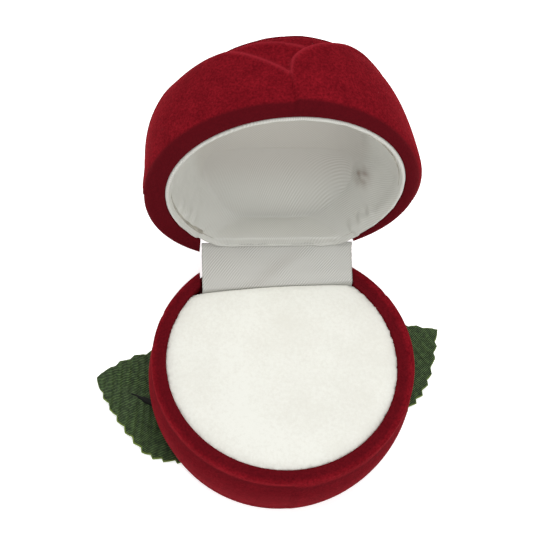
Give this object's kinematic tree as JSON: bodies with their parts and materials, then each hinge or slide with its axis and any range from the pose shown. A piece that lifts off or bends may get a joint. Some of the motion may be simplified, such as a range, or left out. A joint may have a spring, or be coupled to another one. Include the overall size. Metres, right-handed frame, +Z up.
{
  "type": "ring box",
  "caption": "Ring box shaped as a rosebud: hinged flocked shells, crowned velvet pad, satin-lined lid, and pressed fabric leaves under the foot",
  "frame": {"origin": "centre of the foot's underside, where the box stands", "axes": "+Z up, +Y from the front towards the hinge, +X to the right"},
  "size_m": [0.0716, 0.0726, 0.0695],
  "materials": {
    "red_flock": "flocked, short nylon pile",
    "white_velvet": "velvet",
    "white_satin": "satin twill",
    "green_fabric": "stiffened ribbed fabric",
    "dark_wire": "coated wire",
    "grey_card": "pressed board",
    "black_card": "flocked card",
    "foam": "open-cell foam",
    "steel": "plated spring steel"
  },
  "bodies": {
    "base": {"base_shell": "red_flock", "foot_disc": "black_card", "pad_card": "grey_card", "pad_foam": "foam", "pad_cover": "white_velvet", "hinge_base_leaf": "steel", "hinge_pin": "steel", "hinge_spring": "steel", "hinge_rivets_base": "steel", "hinge_ribbon": "white_satin", "leaf_left": "green_fabric", "leaf_right": "green_fabric", "leaf_wire_left": "dark_wire", "leaf_wire_right": "dark_wire"},
    "lid": {"lid_shell": "red_flock", "lid_liner_card": "grey_card", "lid_lining": "white_satin", "hinge_lid_leaf": "steel", "hinge_rivets_lid": "steel"}
  },
  "joints": [
    {"name": "lid_hinge", "type": "hinge", "parent": "base", "child": "lid", "pos_m": [0, 0.0223, 0.02215], "axis": [1, 0, 0], "range_deg": [0, 93], "deforming": ["hinge_ribbon"]}
  ]
}
